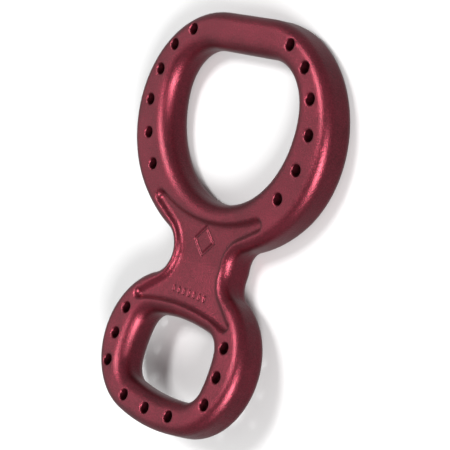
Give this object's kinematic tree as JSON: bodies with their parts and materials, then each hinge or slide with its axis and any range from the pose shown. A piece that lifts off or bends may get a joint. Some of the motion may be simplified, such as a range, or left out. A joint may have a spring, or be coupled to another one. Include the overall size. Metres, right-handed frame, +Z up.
{
  "type": "rope descender",
  "caption": "Figure-eight rope descender: a big rope ring with a flat top bar and a smaller connector ring, joined by a recessed waist, forged and drilled.",
  "frame": {"origin": "middle of the base of the bounding box, with the part lying on the flat back of its big ring", "axes": "+Y along the length towards the big ring's flat top bar, +Z up out of the front face, +X across to complete a right-handed frame"},
  "size_m": [0.0754, 0.1102, 0.0183],
  "materials": {
    "anodised_body": "satin maroon anodising over a tumbled forging"
  },
  "bodies": {
    "root": {"descender_body": "anodised_body"}
  },
  "joints": []
}
